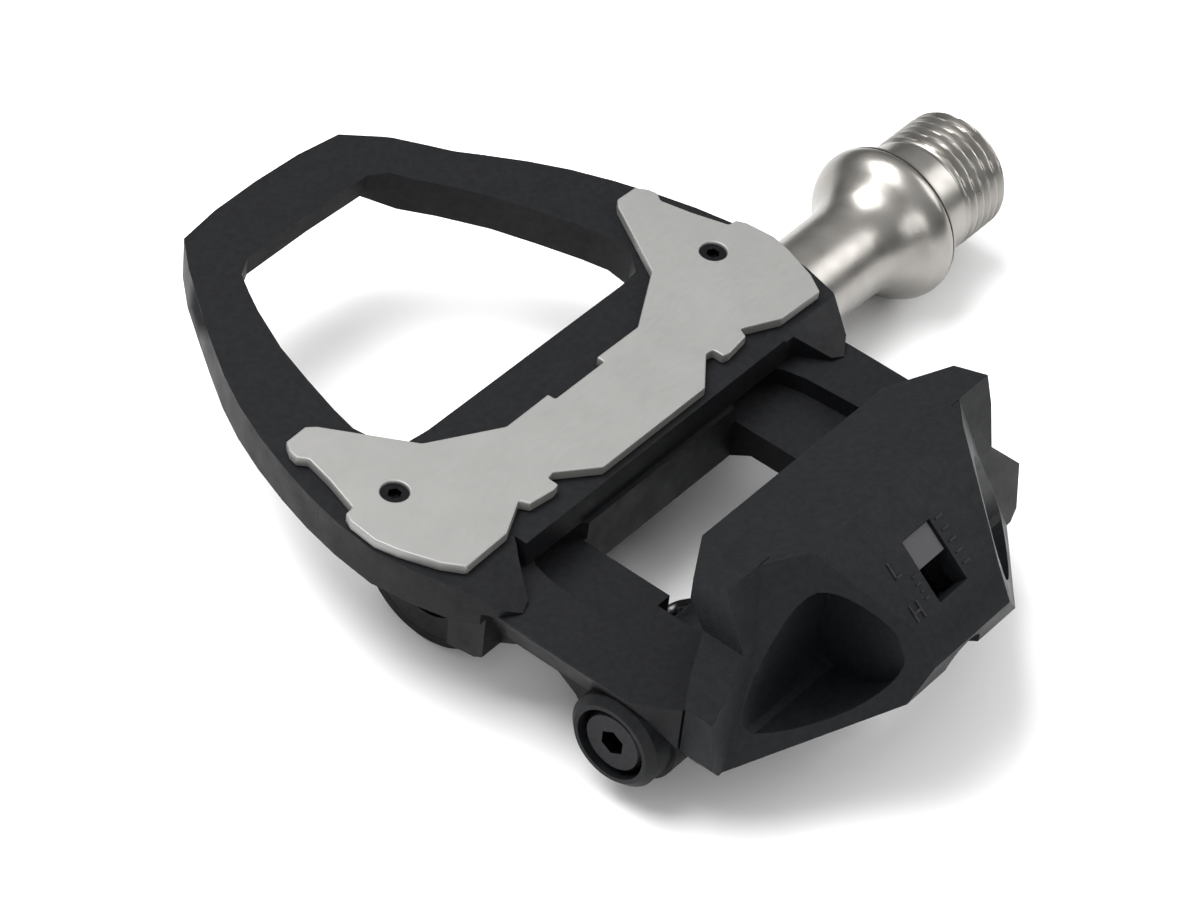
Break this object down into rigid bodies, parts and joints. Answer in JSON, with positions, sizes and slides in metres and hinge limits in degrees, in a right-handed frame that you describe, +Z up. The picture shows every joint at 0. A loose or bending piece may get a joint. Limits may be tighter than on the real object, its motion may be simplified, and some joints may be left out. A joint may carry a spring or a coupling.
{
  "type": "clipless pedal",
  "caption": "Left-hand single-sided clipless road pedal with an open toe hoop, a metal contact plate, a sprung rear claw and a threaded steel spindle.",
  "frame": {"origin": "centre of the spindle's shoulder face, where the thread meets the crank", "axes": "+X along the spindle towards the crank, +Y forward to the toe hoop, +Z up to the shoe"},
  "size_m": [0.0988, 0.0943, 0.0294],
  "materials": {
    "body_black": "satin black moulded composite",
    "claw_black": "satin black moulded composite",
    "plate_steel": "satin stainless sheet",
    "spindle_steel": "turned steel",
    "bearing_steel": "ground bearing steel",
    "dark_steel": "black oxide steel",
    "zinc_steel": "plated steel",
    "spring_steel": "oiled spring wire",
    "bronze": "sintered bronze",
    "rubber_black": "matt rubber",
    "cage_plastic": "natural nylon",
    "cap_plastic": "satin black cap",
    "indicator": "pale indicator block"
  },
  "bodies": {
    "spindle": {"spindle": "spindle_steel", "lock_nut": "zinc_steel", "lock_washer": "zinc_steel", "inner_spacer": "zinc_steel", "bearing_inboard_inner_race": "bearing_steel", "bearing_middle_inner_race": "bearing_steel", "bearing_outboard_inner_race": "bearing_steel"},
    "pedal": {"pedal_body": "body_black", "contact_plate": "plate_steel", "plate_screws": "dark_steel", "outer_spacer": "zinc_steel", "end_cap": "cap_plastic", "cap_ring": "rubber_black", "dust_seal": "rubber_black", "pivot_pin": "dark_steel", "pivot_nut": "dark_steel", "pivot_washers": "bronze", "torsion_spring_out": "spring_steel", "torsion_spring_in": "spring_steel", "bearing_inboard_outer_race": "bearing_steel", "bearing_inboard_shields": "rubber_black", "bearing_middle_outer_race": "bearing_steel", "bearing_middle_shields": "rubber_black", "bearing_outboard_outer_race": "bearing_steel", "bearing_outboard_shields": "rubber_black"},
    "claw": {"claw": "claw_black", "pivot_bushes": "bronze"},
    "tension_screw": {"tension_screw": "dark_steel", "screw_clip": "zinc_steel"},
    "tension_block": {"tension_block": "indicator", "spring_plate": "zinc_steel"},
    "cage_inboard": {"bearing_inboard_balls": "bearing_steel", "bearing_inboard_cage": "cage_plastic"},
    "cage_middle": {"bearing_middle_balls": "bearing_steel", "bearing_middle_cage": "cage_plastic"},
    "cage_outboard": {"bearing_outboard_balls": "bearing_steel", "bearing_outboard_cage": "cage_plastic"}
  },
  "joints": [
    {"name": "pedal_spin", "type": "hinge", "parent": "spindle", "child": "pedal", "pos_m": [0, 0, 0], "axis": [1, 0, 0], "continuous": true},
    {"name": "claw_pivot", "type": "hinge", "parent": "pedal", "child": "claw", "pos_m": [-0.05386, -0.027, -0.001], "axis": [1, 0, 0], "range_deg": [0, 28], "stiffness_Nm_per_rad": 2, "springref_deg": -34.38, "deforming": ["torsion_spring_out", "torsion_spring_in"]},
    {"name": "tension_screw_turn", "type": "hinge", "parent": "claw", "child": "tension_screw", "pos_m": [-0.05386, -0.03984, 0.01142], "axis": [0, 0.7714, 0.6364], "range_deg": [0, 2448]},
    {"name": "tension_block_slide", "type": "slide", "parent": "claw", "child": "tension_block", "axis": [0, -0.7714, -0.6364], "range_m": [0, 0.0034]},
    {"name": "cage_spin_inboard", "type": "hinge", "parent": "spindle", "child": "cage_inboard", "pos_m": [0, 0, 0], "axis": [1, 0, 0], "continuous": true},
    {"name": "cage_spin_middle", "type": "hinge", "parent": "spindle", "child": "cage_middle", "pos_m": [0, 0, 0], "axis": [1, 0, 0], "continuous": true},
    {"name": "cage_spin_outboard", "type": "hinge", "parent": "spindle", "child": "cage_outboard", "pos_m": [0, 0, 0], "axis": [1, 0, 0], "continuous": true}
  ],
  "couplings": [
    {"joint": "tension_screw_turn", "follows": "tension_block_slide", "rad_per_m": 12566},
    {"joint": "cage_spin_inboard", "follows": "pedal_spin", "ratio": 0.5945},
    {"joint": "cage_spin_middle", "follows": "pedal_spin", "ratio": 0.6156},
    {"joint": "cage_spin_outboard", "follows": "pedal_spin", "ratio": 0.6156}
  ]
}
